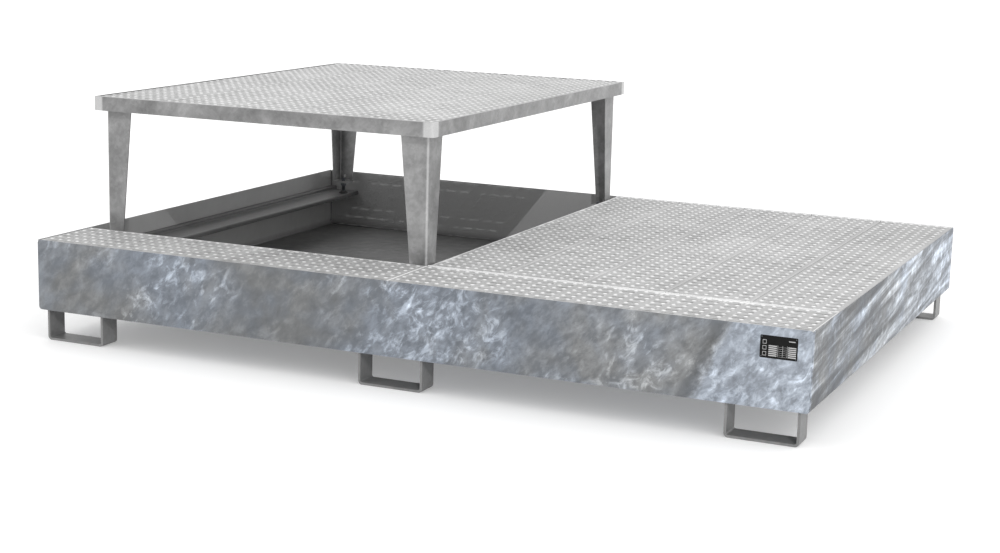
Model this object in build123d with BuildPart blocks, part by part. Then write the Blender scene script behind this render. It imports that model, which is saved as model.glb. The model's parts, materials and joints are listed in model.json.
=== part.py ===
"""Spill containment pallet with a raised filling stand, galvanised sheet steel.

A shallow sump tray on six bent feet is covered by plank gratings along its front and over
its right half. A four-legged stand with a plank deck stands over the open left half.

Millimetres, +Z up. The origin is on the floor under the centre of the tray, +X runs along
the long side and the front faces -Y.
"""

from build123d import *
import os

os.makedirs("parts", exist_ok=True)

# ---------------------------------------------------------------- driving dimensions
# Tray
tray_length = 2680.0
tray_depth = 2000.0
tray_height = 240.0
tray_sheet = 3.0
tray_corner_radius = 12.0

# Bent feet under the tray
foot_width = 225.0
foot_height = 105.0
foot_bar = 80.0
foot_thickness = 8.0
foot_bend = 14.0
foot_end_inset = 28.0
foot_face_inset = 10.0

# Gratings
grating_height = 65.0
grating_sheet = 3.0
grating_bend = 6.0
grating_recess = 2.0
grating_wall_gap = 3.0
grating_joint_gap = 2.0
strip_depth = 286.0
left_strip_length = 1317.0
deck_plank_count = 5
drain_slot_length = 42.0
drain_slot_width = 10.0
drain_slot_pitch = 190.0
drain_slot_lines = 2

# Ties under the gratings
tie_width = 50.0
tie_thickness = 8.0
tie_bearing_gap = 10.0

# Ledges on the tray's walls
seat_width = 28.0
seat_step = 14.0
ledge_flange = 107.0
ledge_lip = 16.0
ledge_wall_leg = 60.0
ledge_sheet = 4.0
angle_width = 60.0
angle_leg = 55.0
angle_sheet = 5.0

# Beams and posts inside the tray
beam_height = 60.0
beam_sheet = 4.0
beam_bend = 8.0
front_beam_width = 80.0
joint_beam_width = 130.0
deck_beam_width = 80.0
middle_beam_low_flange = 100.0
middle_beam_left_bearing = 18.0
middle_beam_right_bearing = 55.0
post_size = 50.0
post_wall = 4.0
post_radius = 6.0

# Stand
stand_rise = 465.0
stand_band = 48.0
stand_overhang = 32.0
stand_frame_sheet = 4.0
stand_frame_flange = 60.0
stand_corner_radius = 12.0
stand_plank_count = 5
stand_plank_recess = 2.0
stand_plank_gap = 1.0
stand_tie_width = 60.0
stand_tie_count = 2

# Legs of the stand
leg_top_width = 100.0
leg_bottom_width = 60.0
leg_sheet = 4.0
leg_bend = 8.0
leg_clearance = 4.0
leg_wall_distance = 72.0
leg_back_distance = 50.0
leg_hole_diameter = 12.0
leg_hole_rise = 18.0
leg_hole_from_corner = 26.0

# Levelling feet of the stand
foot_plate_size = 66.0
foot_plate_thickness = 6.0
levelling_height = 46.0
levelling_offset = 38.0
pad_diameter = 36.0
pad_height = 10.0
pad_neck_diameter = 24.0
pad_rim_height = 5.0
bolt_diameter = 16.0
bolt_hole_clearance = 1.0
bolt_above_plate = 14.0
nut_across_flats = 24.0
nut_height = 13.0
thread_clearance = 0.1

# Rating plate
rating_plate_width = 110.0
rating_plate_height = 66.0
rating_plate_thickness = 0.8
rating_plate_radius = 3.0
rating_plate_end_distance = 45.0
rating_plate_rim_distance = 26.0

# ---------------------------------------------------------------- derived levels
tray_bottom = foot_height
floor_top = tray_bottom + tray_sheet
rim = tray_bottom + tray_height
grating_top = rim - grating_recess
seat = grating_top - grating_height
low_flange = seat - seat_step
stand_top = rim + stand_rise
stand_bottom = stand_top - stand_band
plank_seat = stand_bottom + stand_frame_sheet
plate_bottom = low_flange + levelling_height
leg_bottom = plate_bottom + foot_plate_thickness

# ---------------------------------------------------------------- derived places
half_length = tray_length / 2
half_depth = tray_depth / 2
inner_x = half_length - tray_sheet
inner_y = half_depth - tray_sheet

strip_front = -inner_y + grating_wall_gap
strip_back = strip_front + strip_depth
strip_left = -inner_x + grating_wall_gap
strip_joint = strip_left + left_strip_length
deck_left = strip_joint + grating_joint_gap
deck_right = inner_x - grating_wall_gap
deck_front = strip_back + grating_joint_gap
deck_back = inner_y - grating_wall_gap
deck_length = deck_back - deck_front
deck_width = deck_right - deck_left
deck_plank_width = (deck_width - (deck_plank_count - 1) * grating_joint_gap) / deck_plank_count

ledge_width = seat_width + ledge_flange
ledge_edge = inner_x - ledge_width
front_angle_edge = -inner_y + angle_width
back_angle_edge = inner_y - angle_width

middle_beam_step = strip_joint - middle_beam_left_bearing
middle_beam_left = middle_beam_step - middle_beam_low_flange
middle_beam_right = deck_left + middle_beam_right_bearing
middle_beam_centre = (middle_beam_left + middle_beam_right) / 2

leg_left = -inner_x + leg_wall_distance
leg_right = strip_joint - leg_clearance
leg_front = strip_back + leg_clearance
leg_back = inner_y - leg_back_distance
stand_left = leg_left - stand_overhang
stand_right = leg_right + stand_overhang
stand_front = leg_front - stand_overhang
stand_back = leg_back + stand_overhang
stand_width = stand_right - stand_left
stand_depth = stand_back - stand_front
stand_centre = ((stand_left + stand_right) / 2, (stand_front + stand_back) / 2)


# ---------------------------------------------------------------- shared shapes
def crosswise(y_high):
    """Plane facing -Y at y_high: local x is X, local y is Z, and extrusions run towards -Y."""
    return Plane.XZ.offset(-y_high)


def lengthwise(x_low):
    """Plane facing +X at x_low: local x is Y, local y is Z, and extrusions run towards +X."""
    return Plane.YZ.offset(x_low)


def folded_section(points, thickness, bend, side=Side.LEFT):
    """Section of a folded sheet: one face runs along the points, rounded by bend at each."""
    with BuildLine() as outline:
        FilletPolyline(*points, radius=bend)
        offset(amount=thickness, side=side)
    make_face(outline.edges())


def channel_points(low, high, bottom, top):
    """Outer face of a channel that opens downwards, from its left foot to its right foot."""
    return [(low, bottom), (low, top), (high, top), (high, bottom)]


def save(builder, name):
    """Labels the finished piece and writes it as one STEP file."""
    builder.part.label = name
    export_step(builder.part, f"parts/{name}.step")


def drain_slots(centre, columns, pitch_x, rows, pitch_y):
    """Cuts a grid of drain slots, all longer along X, through the top sheet of one grating."""
    with BuildSketch(Plane(origin=centre)) as slots:
        with GridLocations(pitch_x, pitch_y, columns, rows):
            SlotOverall(drain_slot_length, drain_slot_width)
    extrude(slots.sketch, amount=-2 * grating_sheet, mode=Mode.SUBTRACT)


# ---------------------------------------------------------------- tray
# Floor and both end walls are one sheet, folded up at the ends.
shell_points = [
    (-half_length, rim),
    (-half_length, tray_bottom),
    (half_length, tray_bottom),
    (half_length, rim),
]
with BuildPart() as tray_shell:
    with BuildSketch(crosswise(inner_y)):
        folded_section(shell_points, tray_sheet, tray_corner_radius)
    extrude(amount=2 * inner_y)
save(tray_shell, "tray_shell")

# The front and back walls are flat sheets welded over the ends of the folded sheet.
for wall_name, wall_face in (("front_wall", -inner_y), ("back_wall", half_depth)):
    with BuildPart() as wall:
        with BuildSketch(crosswise(wall_face)) as wall_outline:
            with Locations((0, tray_bottom + tray_height / 2)):
                Rectangle(tray_length, tray_height)
            fillet(wall_outline.vertices().group_by(Axis.Z)[0], radius=tray_corner_radius)
        extrude(amount=tray_sheet)
    save(wall, wall_name)

# Feet: flat bar bent to a U, welded under the floor, three along the front and three behind.
foot_centres = {
    "left": -half_length + foot_end_inset + foot_width / 2,
    "middle": 0.0,
    "right": half_length - foot_end_inset - foot_width / 2,
}
foot_backs = {
    "front": -half_depth + foot_face_inset + foot_bar,
    "rear": half_depth - foot_face_inset,
}
for row_name, foot_back in foot_backs.items():
    for place_name, foot_centre in foot_centres.items():
        foot_low = foot_centre - foot_width / 2
        foot_high = foot_centre + foot_width / 2
        foot_points = [
            (foot_low, tray_bottom),
            (foot_low, 0),
            (foot_high, 0),
            (foot_high, tray_bottom),
        ]
        with BuildPart() as foot:
            with BuildSketch(crosswise(foot_back)):
                folded_section(foot_points, foot_thickness, foot_bend)
            extrude(amount=foot_bar)
        save(foot, f"foot_{row_name}_{place_name}")

# Ledges on both end walls: a leg on the wall, a narrow seat, a step down and a wide flange
# with a turned-down lip.
ledge_points = [
    (inner_x, seat - ledge_wall_leg),
    (inner_x, seat),
    (inner_x - seat_width, seat),
    (inner_x - seat_width, low_flange),
    (ledge_edge, low_flange),
    (ledge_edge, low_flange - ledge_lip),
]
for ledge_name, mirrored, ledge_side in (
    ("ledge_right", 1, Side.LEFT),
    ("ledge_left", -1, Side.RIGHT),
):
    with BuildPart() as end_ledge:
        with BuildSketch(crosswise(inner_y)):
            folded_section(
                [(mirrored * x, z) for x, z in ledge_points],
                ledge_sheet,
                ledge_sheet + 1,
                ledge_side,
            )
        extrude(amount=2 * inner_y)
    save(end_ledge, ledge_name)

# Angle along the front wall, and one along the back wall behind the deck grating only.
with BuildPart() as ledge_front:
    with BuildSketch(lengthwise(-ledge_edge)):
        folded_section(
            [(-inner_y, seat - angle_leg), (-inner_y, seat), (front_angle_edge, seat)],
            angle_sheet,
            angle_sheet + 1,
            Side.RIGHT,
        )
    extrude(amount=2 * ledge_edge)
save(ledge_front, "ledge_front")

with BuildPart() as ledge_back:
    with BuildSketch(lengthwise(middle_beam_right)):
        folded_section(
            [(inner_y, seat - angle_leg), (inner_y, seat), (back_angle_edge, seat)],
            angle_sheet,
            angle_sheet + 1,
            Side.LEFT,
        )
    extrude(amount=ledge_edge - middle_beam_right)
save(ledge_back, "ledge_back")

# ---------------------------------------------------------------- beams in the sump
# The middle beam runs front to back under the edge of the open half. Its high flange
# carries the gratings, its low flange the right feet of the stand.
middle_beam_points = [
    (middle_beam_left, seat - beam_height),
    (middle_beam_left, low_flange),
    (middle_beam_step, low_flange),
    (middle_beam_step, seat),
    (middle_beam_right, seat),
    (middle_beam_right, seat - beam_height),
]
with BuildPart() as middle_beam:
    with BuildSketch(crosswise(inner_y)):
        folded_section(middle_beam_points, beam_sheet, beam_sheet + 1, Side.RIGHT)
    extrude(amount=inner_y - front_angle_edge)
save(middle_beam, "middle_beam")

# The left front beam carries the back edge of the left strip grating.
front_beam_back = strip_back - grating_joint_gap
front_beam_front = front_beam_back - front_beam_width
with BuildPart() as front_beam_left:
    with BuildSketch(lengthwise(-ledge_edge)):
        folded_section(
            channel_points(front_beam_front, front_beam_back, seat - beam_height, seat),
            beam_sheet,
            beam_bend,
            Side.RIGHT,
        )
    extrude(amount=ledge_edge + middle_beam_left)
save(front_beam_left, "front_beam_left")

# The right front beam carries the right strip grating and the front ends of the deck planks.
joint_beam_front = strip_back - joint_beam_width / 2
joint_beam_back = strip_back + joint_beam_width / 2
with BuildPart() as front_beam_right:
    with BuildSketch(lengthwise(middle_beam_right)):
        folded_section(
            channel_points(joint_beam_front, joint_beam_back, seat - beam_height, seat),
            beam_sheet,
            beam_bend,
            Side.RIGHT,
        )
    extrude(amount=ledge_edge - middle_beam_right)
save(front_beam_right, "front_beam_right")

# The deck beam halves the span of the deck planks.
deck_middle = (deck_front + deck_back) / 2
with BuildPart() as deck_beam:
    with BuildSketch(lengthwise(middle_beam_right)):
        folded_section(
            channel_points(
                deck_middle - deck_beam_width / 2,
                deck_middle + deck_beam_width / 2,
                seat - beam_height,
                seat,
            ),
            beam_sheet,
            beam_bend,
            Side.RIGHT,
        )
    extrude(amount=ledge_edge - middle_beam_right)
save(deck_beam, "deck_beam")

# Square tube posts stand on the floor and reach up inside the beams to their top flange.
middle_post_x = (middle_beam_left + middle_beam_step) / 2
left_half_middle = (-ledge_edge + middle_beam_left) / 2
right_half_middle = (middle_beam_right + ledge_edge) / 2
posts = {
    "post_middle_front": (middle_post_x, leg_front + levelling_offset, low_flange),
    "post_middle_centre": (middle_post_x, (leg_front + leg_back) / 2, low_flange),
    "post_middle_rear": (middle_post_x, leg_back - levelling_offset, low_flange),
    "post_front_left": (left_half_middle, (front_beam_front + front_beam_back) / 2, seat),
    "post_front_right": (right_half_middle, strip_back, seat),
    "post_deck": (right_half_middle, deck_middle, seat),
}
for post_name, (post_x, post_y, carried_level) in posts.items():
    with BuildPart() as post:
        with BuildSketch(Plane.XY.offset(floor_top)):
            with Locations((post_x, post_y)):
                RectangleRounded(post_size, post_size, post_radius)
                RectangleRounded(
                    post_size - 2 * post_wall,
                    post_size - 2 * post_wall,
                    post_radius - post_wall,
                    mode=Mode.SUBTRACT,
                )
        extrude(amount=carried_level - beam_sheet - floor_top)
    save(post, post_name)

# ---------------------------------------------------------------- gratings
# Two strip gratings lie end to end along the front.
strips = {
    "strip_grating_left": (strip_left, strip_joint),
    "strip_grating_right": (deck_left, deck_right),
}
for strip_name, (strip_low, strip_high) in strips.items():
    strip_length = strip_high - strip_low
    strip_centre = ((strip_low + strip_high) / 2, (strip_front + strip_back) / 2, grating_top)
    with BuildPart() as strip:
        with BuildSketch(lengthwise(strip_low)):
            folded_section(
                channel_points(strip_front, strip_back, seat, grating_top),
                grating_sheet,
                grating_bend,
                Side.RIGHT,
            )
        extrude(amount=strip_length)
        slot_columns = int(strip_length // drain_slot_pitch)
        drain_slots(
            strip_centre,
            slot_columns,
            drain_slot_pitch,
            drain_slot_lines,
            strip_depth / drain_slot_lines,
        )
    save(strip, strip_name)

# The deck grating is a row of planks that run front to back, joined by two ties.
deck_slot_rows = int(deck_length // drain_slot_pitch)
for plank_index in range(deck_plank_count):
    plank_low = deck_left + plank_index * (deck_plank_width + grating_joint_gap)
    plank_high = plank_low + deck_plank_width
    plank_centre = ((plank_low + plank_high) / 2, deck_middle, grating_top)
    with BuildPart() as deck_plank:
        with BuildSketch(crosswise(deck_back)):
            folded_section(
                channel_points(plank_low, plank_high, seat, grating_top),
                grating_sheet,
                grating_bend,
                Side.RIGHT,
            )
        extrude(amount=deck_length)
        drain_slots(
            plank_centre,
            drain_slot_lines,
            deck_plank_width / drain_slot_lines,
            deck_slot_rows,
            drain_slot_pitch,
        )
    save(deck_plank, f"deck_plank_{plank_index + 1}")

tie_low = middle_beam_right + tie_bearing_gap
tie_high = inner_x - seat_width - tie_bearing_gap
tie_places = {
    "deck_tie_front": (joint_beam_back + deck_middle - deck_beam_width / 2) / 2,
    "deck_tie_rear": (deck_middle + deck_beam_width / 2 + back_angle_edge) / 2,
}
for tie_name, tie_y in tie_places.items():
    with BuildPart() as deck_tie:
        with BuildSketch(Plane.XY.offset(seat - tie_thickness)):
            with Locations(((tie_low + tie_high) / 2, tie_y)):
                Rectangle(tie_high - tie_low, tie_width)
        extrude(amount=tie_thickness)
        fillet(deck_tie.edges().filter_by(Axis.Z), radius=tie_thickness)
    save(deck_tie, tie_name)

# ---------------------------------------------------------------- stand
# Frame of the deck: an upright band round the edge with a flange turned in at its foot.
with BuildPart() as stand_frame:
    with BuildSketch(Plane.XY.offset(stand_bottom)):
        with Locations(stand_centre):
            RectangleRounded(stand_width, stand_depth, stand_corner_radius)
    extrude(amount=stand_band)
    with BuildSketch(Plane.XY.offset(stand_top)):
        with Locations(stand_centre):
            RectangleRounded(
                stand_width - 2 * stand_frame_sheet,
                stand_depth - 2 * stand_frame_sheet,
                stand_corner_radius - stand_frame_sheet,
            )
    extrude(amount=-(stand_band - stand_frame_sheet), mode=Mode.SUBTRACT)
    with BuildSketch(Plane.XY.offset(stand_bottom)):
        with Locations(stand_centre):
            Rectangle(
                stand_width - 2 * stand_frame_flange,
                stand_depth - 2 * stand_frame_flange,
            )
    extrude(amount=stand_frame_sheet, mode=Mode.SUBTRACT)
save(stand_frame, "stand_frame")

# Planks lie in the frame, front to back.
stand_plank_edge = stand_frame_sheet + stand_plank_gap
stand_clear_width = stand_width - 2 * stand_plank_edge
stand_gaps = (stand_plank_count - 1) * grating_joint_gap
stand_plank_width = (stand_clear_width - stand_gaps) / stand_plank_count
stand_plank_length = stand_depth - 2 * stand_plank_edge
stand_plank_top = stand_top - stand_plank_recess
stand_slot_rows = int(stand_plank_length // drain_slot_pitch)
# The outer planks clear the rounded inside corners of the frame.
stand_plank_notch = stand_corner_radius - stand_frame_sheet
for plank_index in range(stand_plank_count):
    plank_low = stand_left + stand_plank_edge
    plank_low += plank_index * (stand_plank_width + grating_joint_gap)
    plank_high = plank_low + stand_plank_width
    plank_centre = ((plank_low + plank_high) / 2, stand_centre[1], stand_plank_top)
    with BuildPart() as stand_plank:
        with BuildSketch(crosswise(stand_back - stand_plank_edge)):
            folded_section(
                channel_points(plank_low, plank_high, plank_seat, stand_plank_top),
                grating_sheet,
                grating_bend,
                Side.RIGHT,
            )
        extrude(amount=stand_plank_length)
        drain_slots(
            plank_centre,
            drain_slot_lines,
            stand_plank_width / drain_slot_lines,
            stand_slot_rows,
            drain_slot_pitch,
        )
        with BuildSketch(Plane.XY.offset(plank_seat)):
            with Locations(stand_centre):
                RectangleRounded(
                    stand_width - 2 * stand_plank_edge,
                    stand_depth - 2 * stand_plank_edge,
                    stand_plank_notch,
                )
        extrude(amount=stand_band, mode=Mode.INTERSECT)
    save(stand_plank, f"stand_plank_{plank_index + 1}")

# Flat ties carry the planks between the side flanges of the frame.
stand_tie_left = stand_left + stand_frame_flange
stand_tie_length = stand_width - 2 * stand_frame_flange
for tie_index in range(stand_tie_count):
    tie_y = stand_front + (tie_index + 1) * stand_depth / (stand_tie_count + 1)
    with BuildPart() as stand_tie:
        with BuildSketch(lengthwise(stand_tie_left)):
            with Locations((tie_y, plank_seat - tie_thickness / 2)):
                Rectangle(stand_tie_width, tie_thickness)
        extrude(amount=stand_tie_length)
    save(stand_tie, f"stand_tie_{tie_index + 1}")

# Legs: folded angles with an upright fold outwards and flanges that taper to the floor.
# Each corner is (x, y, direction inwards along X, direction inwards along Y).
leg_corners = {
    "front_left": (leg_left, leg_front, 1, 1),
    "front_right": (leg_right, leg_front, -1, 1),
    "rear_left": (leg_left, leg_back, 1, -1),
    "rear_right": (leg_right, leg_back, -1, -1),
}
for corner_name, (corner_x, corner_y, inward_x, inward_y) in leg_corners.items():
    leg_path = [
        (corner_x + inward_x * leg_top_width, corner_y),
        (corner_x, corner_y),
        (corner_x, corner_y + inward_y * leg_top_width),
    ]
    inner_side = Side.RIGHT if inward_x * inward_y > 0 else Side.LEFT
    with BuildPart() as leg:
        with BuildSketch(Plane.XY.offset(leg_bottom)):
            folded_section(leg_path, leg_sheet, leg_bend, inner_side)
        extrude(amount=stand_bottom - leg_bottom)
        with BuildSketch(crosswise(max(corner_y, corner_y + inward_y * leg_top_width))):
            with BuildLine():
                Polyline(
                    (corner_x + inward_x * leg_bottom_width, leg_bottom),
                    (corner_x + inward_x * leg_top_width, leg_bottom),
                    (corner_x + inward_x * leg_top_width, stand_bottom),
                    close=True,
                )
            make_face()
        extrude(amount=leg_top_width, mode=Mode.SUBTRACT)
        with BuildSketch(lengthwise(min(corner_x, corner_x + inward_x * leg_top_width))):
            with BuildLine():
                Polyline(
                    (corner_y + inward_y * leg_bottom_width, leg_bottom),
                    (corner_y + inward_y * leg_top_width, leg_bottom),
                    (corner_y + inward_y * leg_top_width, stand_bottom),
                    close=True,
                )
            make_face()
        extrude(amount=leg_top_width, mode=Mode.SUBTRACT)
        with BuildSketch(crosswise(max(corner_y, corner_y + inward_y * leg_sheet))):
            with Locations(
                (corner_x + inward_x * leg_hole_from_corner, leg_bottom + leg_hole_rise)
            ):
                Circle(leg_hole_diameter / 2)
        extrude(amount=leg_sheet, mode=Mode.SUBTRACT)
    save(leg, f"leg_{corner_name}")

    plate_centre = (
        corner_x + inward_x * foot_plate_size / 2,
        corner_y + inward_y * foot_plate_size / 2,
    )
    bolt_place = (
        corner_x + inward_x * levelling_offset,
        corner_y + inward_y * levelling_offset,
    )
    with BuildPart() as foot_plate:
        with BuildSketch(Plane.XY.offset(plate_bottom)):
            with Locations(plate_centre):
                RectangleRounded(foot_plate_size, foot_plate_size, leg_bend)
            with Locations(bolt_place):
                Circle(bolt_diameter / 2 + bolt_hole_clearance / 2, mode=Mode.SUBTRACT)
        extrude(amount=foot_plate_thickness)
    save(foot_plate, f"foot_plate_{corner_name}")

# ---------------------------------------------------------------- levelling feet
levelling_places = [
    (x + inward_x * levelling_offset, y + inward_y * levelling_offset)
    for x, y, inward_x, inward_y in leg_corners.values()
]

# Pads: a wide foot under a narrower neck.
with BuildPart() as levelling_pads:
    with BuildSketch(Plane.XY.offset(low_flange)):
        with Locations(*levelling_places):
            Circle(pad_diameter / 2)
    extrude(amount=pad_rim_height)
    with BuildSketch(Plane.XY.offset(low_flange + pad_rim_height)):
        with Locations(*levelling_places):
            Circle(pad_neck_diameter / 2)
    extrude(amount=pad_height - pad_rim_height)
save(levelling_pads, "levelling_pads")

# Studs stand on the pads and pass through the foot plates.
with BuildPart() as levelling_studs:
    with BuildSketch(Plane.XY.offset(low_flange + pad_height)):
        with Locations(*levelling_places):
            Circle(bolt_diameter / 2)
    extrude(amount=leg_bottom + bolt_above_plate - low_flange - pad_height)
save(levelling_studs, "levelling_studs")

# Nuts lock the studs under the foot plates.
with BuildPart() as levelling_nuts:
    with BuildSketch(Plane.XY.offset(plate_bottom - nut_height)):
        with Locations(*levelling_places):
            RegularPolygon(nut_across_flats / 2, 6, major_radius=False)
            Circle(bolt_diameter / 2 + thread_clearance, mode=Mode.SUBTRACT)
    extrude(amount=nut_height)
save(levelling_nuts, "levelling_nuts")

# ---------------------------------------------------------------- rating plate
with BuildPart() as rating_plate:
    with BuildSketch(crosswise(-half_depth)):
        with Locations(
            (
                half_length - rating_plate_end_distance - rating_plate_width / 2,
                rim - rating_plate_rim_distance - rating_plate_height / 2,
            )
        ):
            RectangleRounded(rating_plate_width, rating_plate_height, rating_plate_radius)
    extrude(amount=rating_plate_thickness)
save(rating_plate, "rating_plate")
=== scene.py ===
"""Spill containment pallet with a raised filling stand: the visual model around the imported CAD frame.

Metres, +Z up. Every place comes from the CAD nodes' boxes, so nothing here changes the object's size.
"""

import json
import math
import random

import bmesh
import bpy
import mathutils
from mathutils import Matrix, Vector


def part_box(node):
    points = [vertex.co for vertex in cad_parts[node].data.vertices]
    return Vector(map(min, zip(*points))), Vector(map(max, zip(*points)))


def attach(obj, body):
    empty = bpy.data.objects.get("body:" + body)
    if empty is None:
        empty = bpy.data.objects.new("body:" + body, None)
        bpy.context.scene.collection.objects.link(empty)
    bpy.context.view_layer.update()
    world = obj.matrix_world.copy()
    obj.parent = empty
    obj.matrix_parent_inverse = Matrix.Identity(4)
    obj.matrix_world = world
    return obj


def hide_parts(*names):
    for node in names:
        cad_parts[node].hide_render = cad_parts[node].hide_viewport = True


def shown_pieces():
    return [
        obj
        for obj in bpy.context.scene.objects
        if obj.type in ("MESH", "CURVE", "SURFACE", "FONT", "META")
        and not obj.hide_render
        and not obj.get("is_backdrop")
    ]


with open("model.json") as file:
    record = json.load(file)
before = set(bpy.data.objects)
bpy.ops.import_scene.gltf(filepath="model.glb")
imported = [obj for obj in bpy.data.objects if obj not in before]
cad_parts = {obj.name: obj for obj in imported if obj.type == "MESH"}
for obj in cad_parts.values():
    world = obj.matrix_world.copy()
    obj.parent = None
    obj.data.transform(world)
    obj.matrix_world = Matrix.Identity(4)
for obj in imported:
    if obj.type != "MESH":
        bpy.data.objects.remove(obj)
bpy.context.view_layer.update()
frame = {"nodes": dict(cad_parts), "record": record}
nodes = frame["nodes"]

# ---------------------------------------------------------------- scene set-up
scene = bpy.context.scene
scene.view_settings.view_transform = "Standard"


CAMERA_PLACE = (2.5962, -5.9634, 1.4950)
CAMERA_YAW, CAMERA_PITCH, CAMERA_ROLL = -0.4212, 0.1988, -0.0257
CAMERA_LENS = 66.64
CAMERA_SENSOR = 36.0


def make_camera():
    """The camera stands low in front of the right half and looks to the left."""
    yaw, pitch, roll = CAMERA_YAW, CAMERA_PITCH, CAMERA_ROLL
    forward = Vector(
        (math.sin(yaw) * math.cos(pitch), math.cos(yaw) * math.cos(pitch), -math.sin(pitch))
    )
    right = Vector((math.cos(yaw), -math.sin(yaw), 0.0))
    down = forward.cross(right)
    right_rolled = math.cos(roll) * right + math.sin(roll) * down
    down_rolled = -math.sin(roll) * right + math.cos(roll) * down
    data = bpy.data.cameras.new("camera")
    data.sensor_width = CAMERA_SENSOR
    data.lens = CAMERA_LENS
    camera = bpy.data.objects.new("camera", data)
    turn = Matrix((right_rolled, -down_rolled, -forward)).transposed()
    camera.matrix_world = Matrix.Translation(CAMERA_PLACE) @ turn.to_4x4()
    scene.collection.objects.link(camera)
    scene.camera = camera


make_camera()


# ---------------------------------------------------------------- node helpers
class Tree:
    """Adds nodes to one node tree and links them as they are made."""

    def __init__(self, tree):
        self.tree = tree
        tree.nodes.clear()

    def add(self, kind, inputs=None, **settings):
        node = self.tree.nodes.new(kind)
        for key, value in settings.items():
            setattr(node, key, value)
        for key, value in (inputs or {}).items():
            if isinstance(value, bpy.types.NodeSocket):
                self.tree.links.new(value, node.inputs[key])
            else:
                node.inputs[key].default_value = value
        return node

    def math(self, operation, a, b=0.0, clamp=False):
        return self.add("ShaderNodeMath", {0: a, 1: b}, operation=operation, use_clamp=clamp).outputs[0]

    def noise(self, vector, scale, detail=4.0, roughness=0.55, distortion=0.0):
        values = {
            "Vector": vector,
            "Scale": scale,
            "Detail": detail,
            "Roughness": roughness,
            "Distortion": distortion,
        }
        return self.add("ShaderNodeTexNoise", values).outputs["Fac"]

    def slanted(self, vector, scale, axis=(0.62, 0.5, 0.6)):
        """Coordinates scaled along an axis and across it; the axis rises to the right and the back."""
        turn = Vector(axis).to_track_quat("X", "Z").inverted().to_euler()
        turned = self.add("ShaderNodeMapping", {"Vector": vector, "Rotation": turn}).outputs[0]
        return self.add("ShaderNodeMapping", {"Vector": turned, "Scale": scale}).outputs[0]

    def ramp(self, value, stops):
        node = self.add("ShaderNodeValToRGB", {"Fac": value})
        elements = node.color_ramp.elements
        while len(elements) < len(stops):
            elements.new(0.5)
        for element, (position, colour) in zip(elements, stops):
            element.position = position
            element.color = (*colour, 1.0)
        return node.outputs["Color"]

    def surface(self, inputs):
        """Closes the material with one Principled shader."""
        shader = self.add("ShaderNodeBsdfPrincipled", inputs).outputs[0]
        self.add("ShaderNodeOutputMaterial", {"Surface": shader})

    def mix(self, share, first, second):
        node = self.add("ShaderNodeMix", data_type="RGBA")
        for socket, value in ((0, share), (6, first), (7, second)):
            if isinstance(value, bpy.types.NodeSocket):
                self.tree.links.new(value, node.inputs[socket])
            else:
                node.inputs[socket].default_value = value
        return node.outputs[2]

    def remap(self, value, low, high, to_low=0.0, to_high=1.0):
        values = {
            "Value": value,
            "From Min": low,
            "From Max": high,
            "To Min": to_low,
            "To Max": to_high,
        }
        return self.add("ShaderNodeMapRange", values).outputs[0]


def grey(level, tint=(1.0, 1.0, 1.0)):
    """Linear colour of a display level from 0 to 255, tinted."""
    value = level / 255.0
    linear = value / 12.92 if value <= 0.04045 else ((value + 0.055) / 1.055) ** 2.4
    return tuple(linear * part for part in tint)


# ---------------------------------------------------------------- materials
shell_low, shell_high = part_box("tray_shell")
wall_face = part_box("front_wall")[0][1]
BLUE = (0.93, 1.0, 1.09)
PLAIN = (1.0, 1.0, 1.0)
TRAY_GREY = (0.975, 1.0, 1.015)
TRAY_BLUE = (0.90, 1.0, 1.15)
GRAIN_SCALE = 420.0
SPANGLE_SIZE = 0.012
RELIEF_STRENGTH = 0.25
RELIEF_DEPTH = 0.0015
TRAY_METALLIC = 0.45


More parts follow.
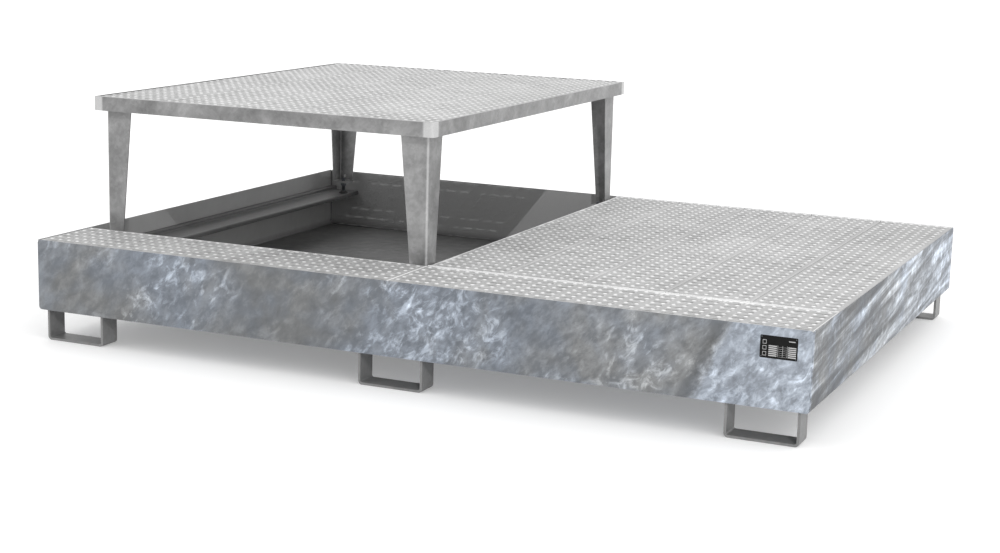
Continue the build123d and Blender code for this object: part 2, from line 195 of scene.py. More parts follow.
def zinc(
    name,
    levels,
    tint=PLAIN,
    cloud_scale=3.0,
    streak=0.4,
    spangle=0.1,
    metallic=0.45,
    roughness=0.45,
    wear_and_highlight_level=None,
    highlighted_folds=(),
):
    """Hot-dip galvanised steel: clouds, slanted streaks, spangle and a fine grain.

    Points with wear or a painted highlight are brighter, and so are the upright edges of each box in
    the fold list, which is a painted highlight; each entry holds the box's lowest and highest corner
    and the width of that painted highlight.
    """
    material = bpy.data.materials.new(name)
    material.use_nodes = True
    t = Tree(material.node_tree)
    place = t.add("ShaderNodeTexCoord").outputs["Object"]
    # Clouds and slanted streaks.
    clouds = t.noise(place, cloud_scale, 6.0, 0.62, 0.6)
    streaks = t.noise(t.slanted(place, (1.3, 9.0, 9.0)), 1.5, 8.0, 0.68, 0.25)
    tone = t.math("ADD", t.math("MULTIPLY", clouds, 1.0 - streak), t.math("MULTIPLY", streaks, streak))
    # Spangle: each crystal has its own tone.
    warp = t.add("ShaderNodeTexNoise", {"Vector": place, "Scale": 60.0, "Detail": 2.0}).outputs["Color"]
    warped = t.add(
        "ShaderNodeVectorMath", {0: warp, "Scale": SPANGLE_SIZE * 0.8}, operation="SCALE"
    ).outputs[0]
    crystal_place = t.add("ShaderNodeVectorMath", {0: place, 1: warped}, operation="ADD").outputs[0]
    crystal = t.add(
        "ShaderNodeTexVoronoi", {"Vector": crystal_place, "Scale": 1.0 / SPANGLE_SIZE}
    ).outputs["Color"]
    crystal_tone = t.add("ShaderNodeSeparateColor", {0: crystal}).outputs[0]
    tone = t.math("ADD", tone, t.math("MULTIPLY", t.math("SUBTRACT", crystal_tone, 0.5), spangle))
    grain = t.noise(place, GRAIN_SCALE, 3.0, 0.6)
    tone = t.math("ADD", tone, t.math("MULTIPLY", t.math("SUBTRACT", grain, 0.5), 0.08))
    low, mid, high = levels
    colour = t.ramp(
        tone,
        [(0.30, grey(low, tint)), (0.50, grey(mid, tint)), (0.70, grey(high, tint))],
    )
    unevenness = t.math("ADD", clouds, t.math("MULTIPLY", grain, 0.3))
    rough = t.remap(unevenness, 0.4, 0.9, roughness - 0.08, roughness + 0.1)
    # Brighter where worn and where a highlight is painted: the mesh attribute's wear and painted
    # highlights, and a painted highlight down the upright fold edges of each listed box.
    if wear_and_highlight_level:
        wear_and_highlight = t.add("ShaderNodeAttribute", attribute_name="wear_and_highlight").outputs["Fac"]
        for low, high, width in highlighted_folds:
            near = []
            for axis, out in (("X", 0), ("Y", 1)):
                middle, half = (low[out] + high[out]) / 2, (high[out] - low[out]) / 2
                split = t.add("ShaderNodeSeparateXYZ", {0: place})
                reach = t.math("ABSOLUTE", t.math("SUBTRACT", split.outputs[axis], middle))
                near.append(t.remap(reach, half - width, half - width * 0.15))
            fold_highlight = t.math("MULTIPLY", t.math("MULTIPLY", *near), 0.55)
            wear_and_highlight = t.math("MAXIMUM", wear_and_highlight, fold_highlight)
        worn_and_highlit = t.math("MULTIPLY", wear_and_highlight, t.remap(grain, 0.3, 0.6, 0.7, 1.0), clamp=True)
        colour = t.mix(worn_and_highlit, colour, (*grey(wear_and_highlight_level, tint), 1.0))
        rough = t.math("SUBTRACT", rough, t.math("MULTIPLY", worn_and_highlit, 0.12))
    height = t.math("ADD", t.math("MULTIPLY", grain, 0.35), t.math("MULTIPLY", crystal_tone, 0.25))
    height = t.math("ADD", height, t.math("MULTIPLY", streaks, 1.2))
    normal = t.add(
        "ShaderNodeBump", {"Strength": RELIEF_STRENGTH, "Distance": RELIEF_DEPTH, "Height": height}
    ).outputs[0]
    t.surface({"Base Color": colour, "Metallic": metallic, "Roughness": rough, "Normal": normal})
    return material


# A painted reflection makes the right end of the tray's front paler from a slanted line on, with a
# painted dark band before it.
REFLECTION_SLOPE = 0.44
REFLECTION_START, REFLECTION_FULL = 0.925, 0.96
REFLECTION_EDGE_PLACE, REFLECTION_EDGE_HALF, REFLECTION_EDGE_CORE = 0.915, 0.03, 0.004
FACE_DEPTH = 0.0015
FLOOR_SHADE_FADE = (0.004, 0.03)


def tray_zinc(name, inside_level):
    """Galvanised tray sheet: blue-grey, with slanted smears, curled marks and a painted reflection that
    makes the right end paler.
    """
    material = bpy.data.materials.new(name)
    material.use_nodes = True
    t = Tree(material.node_tree)
    place = t.add("ShaderNodeTexCoord").outputs["Object"]
    split = t.add("ShaderNodeSeparateXYZ", {0: place})
    x, y, z = (split.outputs[axis] for axis in "XYZ")
    broad = t.noise(place, 1.6, 3.0, 0.5)
    cloud = t.noise(t.slanted(place, (10.0, 26.0, 26.0)), 1.1, 7.0, 0.64, 0.3)
    grain = t.noise(place, GRAIN_SCALE, 3.0, 0.6)
    hatch = t.noise(t.slanted(place, (1.4, 58.0, 58.0)), 1.0, 3.0, 0.6)
    hatch_where = t.remap(t.noise(place, 2.1, 2.0, 0.5), 0.44, 0.60)
    smear = t.noise(t.slanted(place, (10.0, 38.0, 38.0)), 1.0, 6.0, 0.64, 0.4)
    smear = t.remap(smear, 0.50, 0.68)
    smear_where = t.remap(t.noise(place, 3.1, 3.0, 0.55, 0.3), 0.46, 0.60)
    curl = t.noise(t.slanted(place, (9.0, 17.0, 17.0)), 1.2, 6.0, 0.62, 1.6)
    curl = t.remap(curl, 0.50, 0.64)
    curl_where = t.remap(t.noise(place, 2.7, 2.0, 0.5, 0.5), 0.54, 0.64)
    lengthwise = t.slanted(place, (2.0, 24.0, 24.0), (0.0, 0.995, 0.1))
    streaks = t.noise(lengthwise, 1.0, 7.0, 0.66, 0.6)
    # Painted reflection: the right end of the front, beyond a slanted line, and the end face towards
    # its back are paler, with a painted dark band just before the line.
    reflection_line = t.math("SUBTRACT", x, t.math("MULTIPLY", z, REFLECTION_SLOPE))
    reflection_line = t.math("ADD", reflection_line, t.math("MULTIPLY", t.math("SUBTRACT", cloud, 0.5), 0.05))
    front_reflection = t.remap(reflection_line, REFLECTION_START, REFLECTION_FULL)
    reflection_dark_edge = t.math("ABSOLUTE", t.math("SUBTRACT", reflection_line, REFLECTION_EDGE_PLACE))
    reflection_dark_edge = t.remap(reflection_dark_edge, REFLECTION_EDGE_HALF, REFLECTION_EDGE_CORE)
    on_front = t.math("LESS_THAN", y, wall_face + 0.01)
    on_end = t.math("GREATER_THAN", x, shell_high[0] - 0.002)
    end_reflection = t.remap(y, wall_face * 0.6, -wall_face * 0.9)
    painted_reflection = t.math(
        "ADD",
        t.math("MULTIPLY", t.math("MULTIPLY", front_reflection, on_front), 0.9),
        t.math("MULTIPLY", on_end, end_reflection),
    )
    marks = t.math("MULTIPLY", smear, t.math("MAXIMUM", smear_where, t.math("MULTIPLY", painted_reflection, 0.8)))
    curls = t.math("MULTIPLY", curl, t.math("MAXIMUM", curl_where, t.math("MULTIPLY", painted_reflection, 0.6)))
    # The painted reflection lifts the tone; the end face starts a little darker at its front, and the
    # painted dark band lowers the tone before the line.
    tone = t.math("ADD", 0.29, t.math("MULTIPLY", painted_reflection, 0.15))
    tone = t.math("SUBTRACT", tone, t.math("MULTIPLY", on_end, 0.06))
    tone = t.math("SUBTRACT", tone, t.math("MULTIPLY", t.math("MULTIPLY", reflection_dark_edge, on_front), 0.16))
    for amount, pattern in ((0.34, broad), (0.60, cloud), (0.06, grain)):
        tone = t.math("ADD", tone, t.math("MULTIPLY", t.math("SUBTRACT", pattern, 0.5), amount))
    for amount, pattern, where in ((0.42, hatch, hatch_where), (2.3, streaks, on_end)):
        pattern = t.math("MULTIPLY", t.math("SUBTRACT", pattern, 0.5), amount)
        tone = t.math("ADD", tone, t.math("MULTIPLY", pattern, where))
    tone = t.math("ADD", tone, t.math("MULTIPLY", marks, 0.30))
    tone = t.math("ADD", tone, t.math("MULTIPLY", curls, 0.24))
    plain = [(0.0, 78), (0.25, 106), (0.40, 132), (0.62, 174), (0.85, 222)]
    grey_tone = t.ramp(tone, [(at, grey(level, TRAY_GREY)) for at, level in plain])
    blue_tone = t.ramp(tone, [(at, grey(level, TRAY_BLUE)) for at, level in plain])
    tint = t.remap(t.noise(place, 3.7, 3.0, 0.6, 0.3), 0.38, 0.6)
    colour = t.mix(t.math("MAXIMUM", tint, painted_reflection), grey_tone, blue_tone)
    # The sheet's inner faces are a plain, flat tone; the inside floor is darker, a painted shade.
    within = t.math("LESS_THAN", t.math("ABSOLUTE", x), shell_high[0] - FACE_DEPTH)
    within_y = t.math("LESS_THAN", t.math("ABSOLUTE", y), -wall_face - FACE_DEPTH)
    within_z = t.math("GREATER_THAN", z, shell_low[2] + FACE_DEPTH)
    within = t.math("MULTIPLY", t.math("MULTIPLY", within, within_y), within_z)
    # Inner walls take a plain tone; the inner floor takes a darker one, painted shade that fades out a
    # little way up the walls.
    wall_dull, floor_painted_shade = (
        t.ramp(broad, [(0.3, grey(inside_level * low)), (0.7, grey(inside_level * high))])
        for low, high in ((0.95, 1.05), (0.68, 0.76))
    )
    above_floor = t.remap(z, *(shell_low[2] + rise for rise in FLOOR_SHADE_FADE))
    inside_tone_with_floor_shade = t.mix(above_floor, floor_painted_shade, wall_dull)
    colour = t.mix(within, colour, inside_tone_with_floor_shade)
    unevenness = t.math("ADD", cloud, t.math("MULTIPLY", marks, -0.3))
    rough = t.remap(unevenness, 0.3, 0.7, 0.4, 0.58)
    height = t.math("ADD", t.math("MULTIPLY", grain, 0.3), t.math("MULTIPLY", smear, 0.8))
    normal = t.add(
        "ShaderNodeBump", {"Strength": RELIEF_STRENGTH, "Distance": RELIEF_DEPTH, "Height": height}
    ).outputs[0]
    t.surface(
        {"Base Color": colour, "Metallic": TRAY_METALLIC, "Roughness": rough, "Normal": normal}
    )
    return material


def coated(name, level, tint=PLAIN, roughness=0.5, metallic=0.0, spread=0.25, specular=0.5):
    """Painted, moulded or plated surface with a fine grain and slight dust."""
    material = bpy.data.materials.new(name)
    material.use_nodes = True
    t = Tree(material.node_tree)
    place = t.add("ShaderNodeTexCoord").outputs["Object"]
    grain = t.noise(place, 900.0, 3.0, 0.6)
    dust = t.noise(place, 45.0, 5.0, 0.65)
    tone = t.math("ADD", t.math("MULTIPLY", grain, 0.4), t.math("MULTIPLY", dust, 0.6))
    colour = t.ramp(
        tone,
        [(0.35, grey(level * (1 - spread), tint)), (0.65, grey(level * (1 + spread), tint))],
    )
    rough = t.remap(dust, 0.3, 0.7, roughness - 0.08, roughness + 0.12)
    normal = t.add(
        "ShaderNodeBump", {"Strength": 0.3, "Distance": 0.0003, "Height": grain}
    ).outputs[0]
    t.surface(
        {
            "Base Color": colour,
            "Metallic": metallic,
            "Roughness": rough,
            "Specular IOR Level": specular,
            "Normal": normal,
        }
    )
    return material


finishes = {
    "tray_zinc": tray_zinc("tray_zinc", 156),
    # inner_zinc's dark levels are painted shade for the ledges and inner seams down in the sump.
    "inner_zinc": zinc("inner_zinc", (72, 82, 94), cloud_scale=2.0, streak=0.3, spangle=0.06),
    "foot_zinc": zinc("foot_zinc", (106, 120, 136), cloud_scale=5.0, streak=0.3, spangle=0.08),
    "grating_zinc": zinc(
        "grating_zinc",
        (141, 158, 175),
        cloud_scale=2.4,
        streak=0.25,
        spangle=0.06,
        metallic=0.25,
        roughness=0.64,
        wear_and_highlight_level=226,
    ),
    "stand_zinc": zinc(
        "stand_zinc",
        (96, 128, 158),
        cloud_scale=9.0,
        streak=0.4,
        spangle=0.06,
        metallic=0.6,
        roughness=0.38,
        wear_and_highlight_level=216,
        highlighted_folds=[
            (*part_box("stand_frame"), 0.016),
            (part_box("leg_front_left")[0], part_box("leg_rear_right")[1], 0.008),
        ],
    ),
    "black_rubber": coated("black_rubber", 42, roughness=0.72),
    "dark_fastener": coated("dark_fastener", 92, BLUE, roughness=0.42, metallic=0.7),
    "rating_plate": coated("rating_plate", 16, roughness=0.5, specular=0.12),
}
print_pale = coated("print_pale", 160, roughness=0.5, spread=0.04)

# ---------------------------------------------------------------- mesh helpers
SMOOTH_ANGLE = math.radians(38)
WELD_DISTANCE = 2e-6


class Shape:
    """Points, faces, and the wear and painted highlight of each point, of one piece."""

    def __init__(self):
        self.points = []
        self.faces = []
        self.wear_and_highlight = []
        self.face_materials = []

    def add(self, points, faces, wear_and_highlight=0.0, material=0):
        base = len(self.points)
        self.points.extend(points)
        self.wear_and_highlight.extend(wear_and_highlight if isinstance(wear_and_highlight, list) else [wear_and_highlight] * len(points))
        self.faces.extend([tuple(i + base for i in face) for face in faces])
        self.face_materials.extend([material] * len(faces))

    def piece(self, name, body, slot, replaced=(), materials=None):
        """Makes the object, welds its points and sends it with its body."""
        mesh = bpy.data.meshes.new(name)
        mesh.from_pydata(self.points, [], self.faces)
        mesh.polygons.foreach_set("material_index", self.face_materials)
        # Per-point wear and painted highlight, which the materials read to brighten points.
        layer = mesh.attributes.new("wear_and_highlight", "FLOAT", "POINT")
        layer.data.foreach_set("value", self.wear_and_highlight)
        work = bmesh.new()
        work.from_mesh(mesh)
        bmesh.ops.remove_doubles(work, verts=work.verts, dist=WELD_DISTANCE)
        bmesh.ops.recalc_face_normals(work, faces=work.faces)
        work.to_mesh(mesh)
        work.free()
        mesh.polygons.foreach_set("use_smooth", [True] * len(mesh.polygons))
        mesh.set_sharp_from_angle(angle=SMOOTH_ANGLE)
        for material in materials or [finishes[slot]]:
            mesh.materials.append(material)
        made = bpy.data.objects.new(name, mesh)
        scene.collection.objects.link(made)
        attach(made, body)
        if replaced:
            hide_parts(*replaced)
        return made


def grid_faces(rows, columns, closed=False):
    """Quads between neighbouring rows of points, each row of the same length."""
    faces = []
    for row in range(rows - 1):
        for column in range(columns if closed else columns - 1):
            following = (column + 1) % columns
            faces.append(
                (
                    row * columns + column,
                    row * columns + following,
                    (row + 1) * columns + following,
                    (row + 1) * columns + column,
                )
            )
    return faces


def circle(centre, radius, count):
    """Points round a centre, as pairs."""
    return [
        (
            centre[0] + radius * math.cos(2 * math.pi * i / count),
            centre[1] + radius * math.sin(2 * math.pi * i / count),
        )
        for i in range(count)
    ]


def lathe(shape, centre, profile, count):
    """Turns a profile of (radius, height) round a vertical axis; a radius of 0 closes it."""
    points = []
    for radius, height in profile:
        ring = circle(centre, max(radius, 1e-7), count)
        points.extend((x, y, centre[2] + height) for x, y in ring)
    shape.add(points, grid_faces(len(profile), count, closed=True))


# ---------------------------------------------------------------- gratings
SHEET = 0.003
BEND = 0.006
CELL_X = 0.0685
CELL_Y = 0.0436
SLOT_LENGTH = 0.046
SLOT_WIDTH = 0.009
NUB_RADIUS = 0.0085
NUB_RINGS = ((0.88, 0.5), (0.66, 0.88), (0.34, 1.0))
NUB_SIDES = 10
SLOT_END_STEPS = 4
BEND_STEPS = 4


def cell_pattern(width, depth, nub_height):
    """One cell of the grating's top: a slot and two nubs, as points, faces, wear and the slot's rim."""
    slot_centre = (0.0, -depth / 4)
    nub_centres = [(-width / 4, depth / 4), (width / 4, depth / 4)]
    corners = [
        (-width / 2, -depth / 2),
        (width / 2, -depth / 2),
        (width / 2, depth / 2),
        (-width / 2, depth / 2),
    ]
    slot = []
    for side in (1, -1):
        for step in range(SLOT_END_STEPS + 1):
            angle = side * math.pi / 2 * (2 * step / SLOT_END_STEPS - 1)
            reach = SLOT_LENGTH / 2 - SLOT_WIDTH / 2
            if side == 1:
                x = reach + SLOT_WIDTH / 2 * math.cos(angle)
                y = SLOT_WIDTH / 2 * math.sin(angle)
            else:
                x = -reach - SLOT_WIDTH / 2 * math.cos(angle)
                y = SLOT_WIDTH / 2 * math.sin(angle)
            slot.append((slot_centre[0] + x, slot_centre[1] + y))
    nubs = [circle(centre, NUB_RADIUS, NUB_SIDES) for centre in nub_centres]
    flat, outlines = [], []
    for outline in (corners, slot, *nubs):
        outlines.append(list(range(len(flat), len(flat) + len(outline))))
        flat.extend(outline)
    found, _, faces, _, _, origins = mathutils.geometry.delaunay_2d_cdt(
        [Vector(p) for p in flat], [], outlines, 0, 1e-8, True
    )
    points = [(p[0], p[1], 0.0) for p in found]
    wear_and_highlight = [0.0] * len(points)
    cell_faces = [tuple(face) for face, origin in zip(faces, origins) if list(origin) == [0]]
    for centre in nub_centres:
        rings = [NUB_RADIUS, *(NUB_RADIUS * part for part, _ in NUB_RINGS)]
        heights = [0.0, *(nub_height * rise for _, rise in NUB_RINGS)]
        base = len(points)
        for ring_radius, height in zip(rings, heights):
            points.extend((x, y, height) for x, y in circle(centre, ring_radius, NUB_SIDES))
            wear_and_highlight.extend([min(1.0, height / nub_height) ** 2 if height else 0.0] * NUB_SIDES)
        cell_faces.extend(
            tuple(i + base for i in face) for face in grid_faces(len(rings), NUB_SIDES, closed=True)
        )
        last = base + (len(rings) - 1) * NUB_SIDES
        cell_faces.append(tuple(range(last, last + NUB_SIDES)))
    return points, cell_faces, wear_and_highlight, slot


def chamfered_box(shape, low, high, chamfer, wear_and_highlight):
    """A box with every edge broken; the last argument, a function of the point, gives its wear and
    painted highlight.
    """
    work = bmesh.new()
    bmesh.ops.create_cube(work, size=1.0)
    for vert in work.verts:
        vert.co = Vector([low[i] + (vert.co[i] + 0.5) * (high[i] - low[i]) for i in range(3)])
    bmesh.ops.bevel(work, geom=work.edges[:], offset=chamfer, segments=1, affect="EDGES")
    work.verts.index_update()
    points = [tuple(vert.co) for vert in work.verts]
    faces = [tuple(vert.index for vert in face.verts) for face in work.faces]
    work.free()
    shape.add(points, faces, [wear_and_highlight(point) for point in points])


def grating(name, node, body, nub_height, across, worn_and_highlit=(0.1, 0.1), margins=(0.0, 0.0), lip=None):
    """A channel of sheet that opens downwards, punched with slots and embossed with nubs.

    across is the axis from flange to flange: 0 for planks that run front to back, 1 for strips.
    The two bend values give the wear of its two bends, and where a value is high a painted highlight;
    margins are the plain widths left beside them. With a lip its ends are closed by plates that
    stand that far above the sheet, their top edges brightened by a painted highlight over wear.
    """
    low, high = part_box(node)
    shape = Shape()
    along = 1 - across
    top = high[2]
    if lip is not None:
        for edge, inner in ((low[along], low[along] + SHEET), (high[along] - SHEET, high[along])):
            plate_low, plate_high = [0.0, 0.0, low[2]], [0.0, 0.0, top + lip]
            plate_low[along], plate_high[along] = edge, inner
            plate_low[across], plate_high[across] = low[across] + 0.0004, high[across] - 0.0004
            # The end plates' top edges get a painted highlight over wear; the rest gets light wear.
            chamfered_box(
                shape, plate_low, plate_high, 0.0005, lambda p: 0.9 if p[2] > top - 0.001 else 0.1
            )
        low[along] += SHEET
        high[along] -= SHEET
    flat_low = [low[0], low[1]]
    flat_high = [high[0], high[1]]
    flat_low[across] += BEND + margins[0]
    flat_high[across] -= BEND + margins[1]
    size = [flat_high[i] - flat_low[i] for i in (0, 1)]
    counts = [max(1, round(size[0] / CELL_X)), max(1, int(size[1] / CELL_Y))]
    pitch = [size[0] / counts[0], size[1] / counts[1]]
    points, faces, wear_and_highlight, slot = cell_pattern(pitch[0], pitch[1], nub_height)
    for column in range(counts[0]):
        for row in range(counts[1]):
            x = flat_low[0] + (column + 0.5) * pitch[0]
            y = flat_low[1] + (row + 0.5) * pitch[1]
            for drop in (0.0, SHEET):
                shape.add([(x + p[0], y + p[1], top - drop + p[2]) for p in points], faces, list(wear_and_highlight))
            rim_points = [(x + p[0], y + p[1], top - d) for d in (0.0, SHEET) for p in slot]
            shape.add(rim_points, grid_faces(2, len(slot), closed=True), 0.35)
    # Bends and flanges along both edges, and the cut ends of the sheet.
    stations = [flat_low[along] + i * pitch[along] for i in range(counts[along] + 1)]
    sides = ((1, low[across], worn_and_highlit[0], margins[0]), (-1, high[across], worn_and_highlit[1], margins[1]))
    for sign, edge, amount, margin in sides:
        section = []
        for radius in (BEND, BEND - SHEET):
            arc = [
                (BEND - radius * math.sin(a), BEND - radius * math.cos(a))
                for a in (math.pi / 2 * i / BEND_STEPS for i in range(BEND_STEPS + 1))
            ]
            inset = BEND - radius
            start = [(BEND + margin, inset)] if margin else []
            section.append([*start, *arc, (inset, (top - low[2]) * 0.5), (inset, top - low[2])])
        count = len(section[0])
        outline = section[0] + section[1][::-1]
        # The bends carry their wear; where the value is high, at the seam, it is a painted highlight.
        edge_wear_and_highlight = [amount] * (count - 2) + [0.0] * (count + 2)
        run_points = []
        for station in stations:
            for inset, drop in outline:
                place = [0.0, 0.0, top - drop]
                place[across] = edge + sign * inset
                place[along] = station
                run_points.append(tuple(place))
        shape.add(run_points, grid_faces(len(stations), len(outline)), edge_wear_and_highlight * len(stations))
        for station in (stations[0], stations[-1]):
            cap = []
            for pair in zip(section[0], section[1]):
                for inset, drop in pair:
                    place = [0.0, 0.0, top - drop]
                    place[across] = edge + sign * inset
                    place[along] = station
                    cap.append(tuple(place))
            shape.add(cap, grid_faces(count, 2))
    for station in (stations[0], stations[-1]):
        cap = []
        for i in range(counts[across] + 1):
            for drop in (0.0, SHEET):
                place = [0.0, 0.0, top - drop]
                place[across] = flat_low[across] + i * pitch[across]
                place[along] = station
                cap.append(tuple(place))
        shape.add(cap, grid_faces(counts[across] + 1, 2))
    return shape.piece(name, body, "grating_zinc", [node])


DECK_NUB = 0.0022
STAND_NUB = 0.0018
DECK_LIP = 0.0018
STRIP_MARGIN, DECK_MARGIN = 0.009, 0.008
# The seam between strips and deck gets a painted highlight along its bends; the other joints get light
# wear.
SEAM_HIGHLIGHT, JOINT_WEAR = 1.0, 0.1
for side in ("left", "right"):
    grating(
        f"strip_sheet_{side}",
        f"strip_grating_{side}",
        f"strip_{side}",
        DECK_NUB,
        across=1,
        worn_and_highlit=(JOINT_WEAR, SEAM_HIGHLIGHT),
        margins=(0.0, STRIP_MARGIN),
        lip=0.0,
    )
for index in range(1, 6):
    grating(
        f"deck_sheet_{index}",
        f"deck_plank_{index}",
        "deck",
        DECK_NUB,
        across=0,
        worn_and_highlit=(SEAM_HIGHLIGHT if index == 1 else JOINT_WEAR, JOINT_WEAR),
        margins=(DECK_MARGIN if index == 1 else 0.0, 0.0),
        lip=DECK_LIP,
    )
    grating(f"stand_sheet_{index}", f"stand_plank_{index}", "stand", STAND_NUB, across=0)


# ---------------------------------------------------------------- rating plate
def block(shape, low, high, material=0):
    """A small box with its edges broken, for raised print and frames."""
    rim = min(high[i] - low[i] for i in range(3)) * 0.3
    rings = []
    for y, inset in ((high[1], 0.0), (low[1] + rim, 0.0), (low[1], rim)):
        rings.extend(
            [
                (low[0] + inset, y, low[2] + inset),
                (high[0] - inset, y, low[2] + inset),
                (high[0] - inset, y, high[2] - inset),
                (low[0] + inset, y, high[2] - inset),
            ]
        )
    faces = grid_faces(3, 4, closed=True) + [(0, 1, 2, 3), (8, 9, 10, 11)]
    shape.add(rings, faces, 0.0, material)


def rating_plate():
    """A dark plate with a plain ruled table and blank fields, held by four small rivets."""
    low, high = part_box("rating_plate")
    width, height = high[0] - low[0], high[2] - low[2]
    back, face = high[1], high[1] - 0.00055
    shape = Shape()
    corner, steps = 0.003, 5
    outline = []
    for index, (x, z) in enumerate(
        (
            (high[0] - corner, high[2] - corner),
            (low[0] + corner, high[2] - corner),
            (low[0] + corner, low[2] + corner),
            (high[0] - corner, low[2] + corner),
        )
    ):
        for step in range(steps + 1):
            angle = math.pi / 2 * (index + step / steps)
            outline.append((x, z, math.cos(angle), math.sin(angle)))
    points = []
    for y, inset in ((back, 0.0), (face + 0.0001, 0.0), (face, 0.0002)):
        points.extend(
            (x + (corner - inset) * dx, y, z + (corner - inset) * dz) for x, z, dx, dz in outline
        )
    count = len(outline)
    ends = [tuple(range(count)), tuple(range(2 * count, 3 * count))]
    shape.add(points, grid_faces(3, count, closed=True) + ends)

    def field(left, bottom, right, top):
        """A raised pale field, its edges given as shares of the plate's width and height."""
        block(
            shape,
            (low[0] + left * width, face - 0.00012, low[2] + bottom * height),
            (low[0] + right * width, face + 0.00005, low[2] + top * height),
            1,
        )

    field(0.76, 0.80, 0.93, 0.84)
    for bottom in (0.10, 0.36, 0.62):
        field(0.07, bottom, 0.17, bottom + 0.02)
        field(0.07, bottom + 0.16, 0.17, bottom + 0.18)
        field(0.07, bottom + 0.02, 0.08, bottom + 0.16)
        field(0.16, bottom + 0.02, 0.17, bottom + 0.16)
    for row in range(6):
        bottom = 0.10 + row * 0.085
        field(0.23, bottom, 0.45, bottom + 0.05)
        field(0.75, bottom, 0.96, bottom + 0.05)
        field(0.47, bottom, 0.73, bottom + 0.008)
    for column in (0.47, 0.60, 0.722):
        field(column, 0.108, column + 0.008, 0.60)
    inset = 0.0045
    rivets = [
        (low[0] + dx, low[2] + dz)
        for dx in (inset, width - inset)
        for dz in (inset, height - inset)
    ]
    for x, z in rivets:
        rings = []
        for radius, lift in ((0.0016, 0.0), (0.0014, 0.00012), (0.0008, 0.00021)):
            rings.extend((x + px, face - lift, z + pz) for px, pz in circle((0, 0), radius, 12))
        shape.add(rings, grid_faces(3, 12, closed=True) + [tuple(range(24, 36))], 0.0, 2)
    shape.piece(
        "rating_plate_detailed",
        "tray",
        "rating_plate",
        ["rating_plate"],
        [finishes["rating_plate"], print_pale, finishes["dark_fastener"]],
    )


rating_plate()


# ---------------------------------------------------------------- levelling feet
def islands(node):
    """Boxes of the separate solids in one CAD node, as (lowest corner, highest corner)."""
    work = bmesh.new()
    work.from_mesh(nodes[node].data)
    bmesh.ops.remove_doubles(work, verts=work.verts, dist=1e-6)
    left, found = set(work.verts), []
    while left:
        stack = [next(iter(left))]
        seen = set(stack)
        while stack:
            for edge in stack.pop().link_edges:
                for vert in edge.verts:
                    if vert not in seen:
                        seen.add(vert)
                        stack.append(vert)
        left -= seen
        places = [vert.co for vert in seen]
        found.append(
            (
                Vector([min(p[i] for p in places) for i in range(3)]),
                Vector([max(p[i] for p in places) for i in range(3)]),
            )
        )
    work.free()
    return sorted(found, key=lambda pair: tuple(pair[0]))


def levelling_feet():
    """Rubber pads, threaded studs and chamfered nuts."""
    pads, studs, nuts = Shape(), Shape(), Shape()
    for low, high in islands("levelling_pads"):
        radius, height = (high[0] - low[0]) / 2, high[2] - low[2]
        centre = ((low[0] + high[0]) / 2, (low[1] + high[1]) / 2, low[2])
        profile = [(0.0, 0.0), (radius - 0.001, 0.0), (radius, 0.0008), (radius, 0.0018)]
        profile += [(radius - 0.0006, 0.0022), (radius - 0.0006, 0.0028), (radius, 0.0032)]
        profile += [(radius, 0.0042), (radius - 0.001, 0.005), (0.0128, 0.0053), (0.012, 0.006)]
        profile += [(0.012, height - 0.0008), (0.0112, height), (0.0, height)]
        lathe(pads, centre, profile, 40)
    for low, high in islands("levelling_studs"):
        radius, height, pitch = (high[0] - low[0]) / 2, high[2] - low[2], 0.002
        centre = ((low[0] + high[0]) / 2, (low[1] + high[1]) / 2, low[2])
        profile = [(0.0, 0.0), (radius - 0.0012, 0.0)]
        for turn in range(int(height / pitch) - 1):
            foot = 0.0006 + turn * pitch
            profile += [(radius - 0.0012, foot), (radius, foot + 0.0009), (radius, foot + 0.0011)]
        profile += [(radius - 0.0012, height - 0.0012), (radius - 0.002, height), (0.0, height)]
        lathe(studs, centre, profile, 28)
    for low, high in islands("levelling_nuts"):
        flats = min(high[0] - low[0], high[1] - low[1])
        height = high[2] - low[2]
        centre = ((low[0] + high[0]) / 2, (low[1] + high[1]) / 2)
        corner_first = 0.0 if high[0] - low[0] > high[1] - low[1] else math.pi / 6
        sides, bore = 48, 0.0081
        rings = []
        for z, limit in (
            (0.0, flats * 0.49),
            (0.0011, flats * 0.62),
            (height - 0.0011, flats * 0.62),
            (height, flats * 0.49),
        ):
            for i in range(sides):
                angle = 2 * math.pi * i / sides
                offset = (angle - corner_first) % (math.pi / 3) - math.pi / 6
                radius = min(flats / 2 / math.cos(offset), limit)
                rings.append(
                    (
                        centre[0] + radius * math.cos(angle),
                        centre[1] + radius * math.sin(angle),
                        low[2] + z,
                    )
                )
        lead = 0.0006
        for z, radius in (
            (height, bore + lead),
            (height - lead, bore),
            (lead, bore),
            (0.0, bore + lead),
        ):
            rings.extend((x, y, low[2] + z) for x, y in circle(centre, radius, sides))
        faces = grid_faces(8, sides, closed=True)
        last = 7 * sides
        faces += [
            (last + i, last + (i + 1) % sides, (i + 1) % sides, i) for i in range(sides)
        ]
        nuts.add(rings, faces)
    pads.piece("levelling_pads_rubber", "stand", "black_rubber", ["levelling_pads"])
    studs.piece("levelling_studs_threaded", "stand", "dark_fastener", ["levelling_studs"])
    nuts.piece("levelling_nuts_chamfered", "stand", "dark_fastener", ["levelling_nuts"])


levelling_feet()

# ---------------------------------------------------------------- weld beads
chance = random.Random(11)


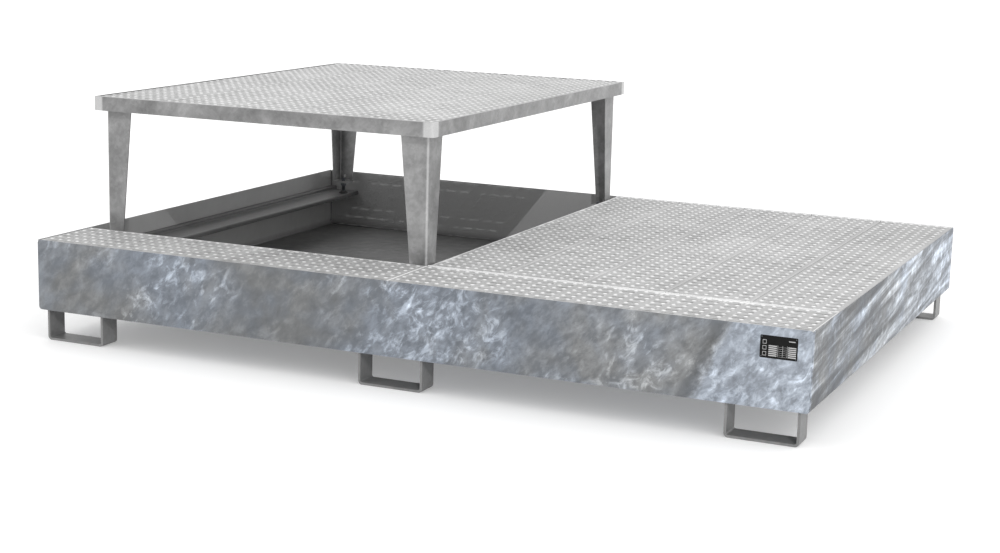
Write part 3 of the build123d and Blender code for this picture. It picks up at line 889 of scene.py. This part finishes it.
def bead(shape, start, end, first, second, leg=0.0035, ripple=0.004):
    """A rippled fillet weld from start to end, in the corner between directions first and second."""
    start, end, first, second = (Vector(v) for v in (start, end, first, second))
    length = (end - start).length
    count = max(4, int(length / ripple) * 2)
    section = 5
    points = []
    for i in range(count + 1):
        share = i / count
        taper = min(1.0, 0.35 + min(share, 1 - share) * length / 0.006)
        size = leg * taper * (1.0 + (0.10 if i % 2 else -0.06) + chance.uniform(-0.04, 0.04))
        middle = start + (end - start) * share
        points.append(tuple(middle - (first + second) * 0.0003))
        for k in range(section):
            angle = math.pi / 2 * k / (section - 1)
            reach = size * (1.0 - 0.2 * math.sin(2 * angle))
            across = first * reach * math.cos(angle) + second * reach * math.sin(angle)
            points.append(tuple(middle + across))
    ring = section + 1
    faces = grid_faces(count + 1, ring, closed=True)
    faces += [tuple(range(ring)), tuple(range(count * ring, (count + 1) * ring))]
    shape.add(points, faces, 0.25)


def welds():
    """Feet to the floor, legs to the frame and foot plates, and the tray's inner seams."""
    feet, seams, legs = Shape(), Shape(), Shape()
    bar = 0.008
    down, up = (0, 0, -1), (0, 0, 1)
    for row in ("front", "rear"):
        for place in ("left", "middle", "right"):
            low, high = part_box(f"foot_{row}_{place}")
            for x, outward in ((low[0], -1), (low[0] + bar, 1), (high[0] - bar, -1), (high[0], 1)):
                bead(
                    feet,
                    (x, low[1] + 0.004, high[2]),
                    (x, high[1] - 0.004, high[2]),
                    (outward, 0, 0),
                    down,
                    0.004,
                )
    low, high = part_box("front_wall")[0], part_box("back_wall")[1]
    sheet = 0.003
    left, right = low[0] + sheet, high[0] - sheet
    front, back = low[1] + sheet, high[1] - sheet
    floor, rim = low[2] + sheet, high[2]
    bend = 0.012
    for x, inward_x in ((left, 1), (right, -1)):
        for y, inward_y in ((front, 1), (back, -1)):
            bead(
                seams,
                (x, y, floor + bend),
                (x, y, rim - 0.004),
                (inward_x, 0, 0),
                (0, inward_y, 0),
                0.003,
            )
    for y, inward_y in ((front, 1), (back, -1)):
        start, end = (left + bend, y, floor), (right - bend, y, floor)
        bead(seams, start, end, up, (0, inward_y, 0), 0.003, 0.006)
    for side, inward_y in (("front", 1), ("rear", -1)):
        for place, inward_x in (("left", 1), ("right", -1)):
            low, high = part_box(f"leg_{side}_{place}")
            plate_low, plate_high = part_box(f"foot_plate_{side}_{place}")
            x = (low[0] if inward_x > 0 else high[0]) + inward_x * 0.004
            y = (low[1] if inward_y > 0 else high[1]) + inward_y * 0.004
            for z, upright, reach in ((high[2], down, 0.088), (low[2], up, 0.048)):
                bead(
                    legs,
                    (x + inward_x * 0.006, y, z),
                    (x + inward_x * reach, y, z),
                    (0, inward_y, 0),
                    upright,
                )
                bead(
                    legs,
                    (x, y + inward_y * 0.006, z),
                    (x, y + inward_y * reach, z),
                    (inward_x, 0, 0),
                    upright,
                )
    feet.piece("weld_feet", "tray", "foot_zinc")
    seams.piece("weld_tray_seams", "tray", "inner_zinc")
    legs.piece("weld_stand", "stand", "stand_zinc")


welds()

# ---------------------------------------------------------------- CAD nodes keep their shape
for part in frame["record"]["subparts"]:
    node = nodes[part["node"]]
    if not node.hide_render:
        node.data.materials.clear()
        node.data.materials.append(finishes[part["material_slot"]])


# ---------------------------------------------------------------- floor and light
FLOOR_HALF = 60.0
FLOOR_GLOW = 0.22
KEY_ENERGY = 1.6
KEY_ANGLE = math.radians(0.25)
KEY_TRAVEL = (-0.8, 1.15, -1.0)


def make_floor():
    """A plain pale floor, wide enough to reach the horizon."""
    mesh = bpy.data.meshes.new("floor")
    half = FLOOR_HALF
    corners = [(-half, -half, 0), (half, -half, 0), (half, half, 0), (-half, half, 0)]
    mesh.from_pydata(corners, [], [(0, 1, 2, 3)])
    floor = bpy.data.objects.new("floor", mesh)
    material = bpy.data.materials.new("floor_pale")
    material.use_nodes = True
    t = Tree(material.node_tree)
    t.surface(
        {
            "Base Color": (0.8, 0.8, 0.8, 1.0),
            "Roughness": 0.8,
            "Emission Color": (1.0, 1.0, 1.0, 1.0),
            "Emission Strength": FLOOR_GLOW,
        }
    )
    mesh.materials.append(material)
    scene.collection.objects.link(floor)
    floor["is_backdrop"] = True


def make_light():
    """A white dome, brighter above and to the right, and one hard key light on the object alone."""
    world = bpy.data.worlds.new("studio")
    world.use_nodes = True
    t = Tree(world.node_tree)
    direction = t.add("ShaderNodeTexCoord").outputs["Generated"]
    split = t.add("ShaderNodeSeparateXYZ", {0: direction})
    strength = t.remap(split.outputs["Z"], -0.1, 0.9, 1.0, 1.2)
    strength = t.math("MULTIPLY", strength, t.remap(split.outputs["X"], 0.1, 0.9, 1.0, 1.6))
    background = t.add(
        "ShaderNodeBackground", {"Color": (1.0, 1.0, 1.0, 1.0), "Strength": strength}
    ).outputs[0]
    t.add("ShaderNodeOutputWorld", {"Surface": background})
    scene.world = world
    data = bpy.data.lights.new("key", "SUN")
    data.energy = KEY_ENERGY
    data.angle = KEY_ANGLE
    key = bpy.data.objects.new("key", data)
    key.rotation_mode = "QUATERNION"
    key.rotation_quaternion = Vector(KEY_TRAVEL).to_track_quat("-Z", "Y")
    scene.collection.objects.link(key)
    lit = bpy.data.collections.new("lit_by_key")
    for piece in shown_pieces():
        lit.objects.link(piece)
    key.light_linking.receiver_collection = lit


make_floor()
make_light()
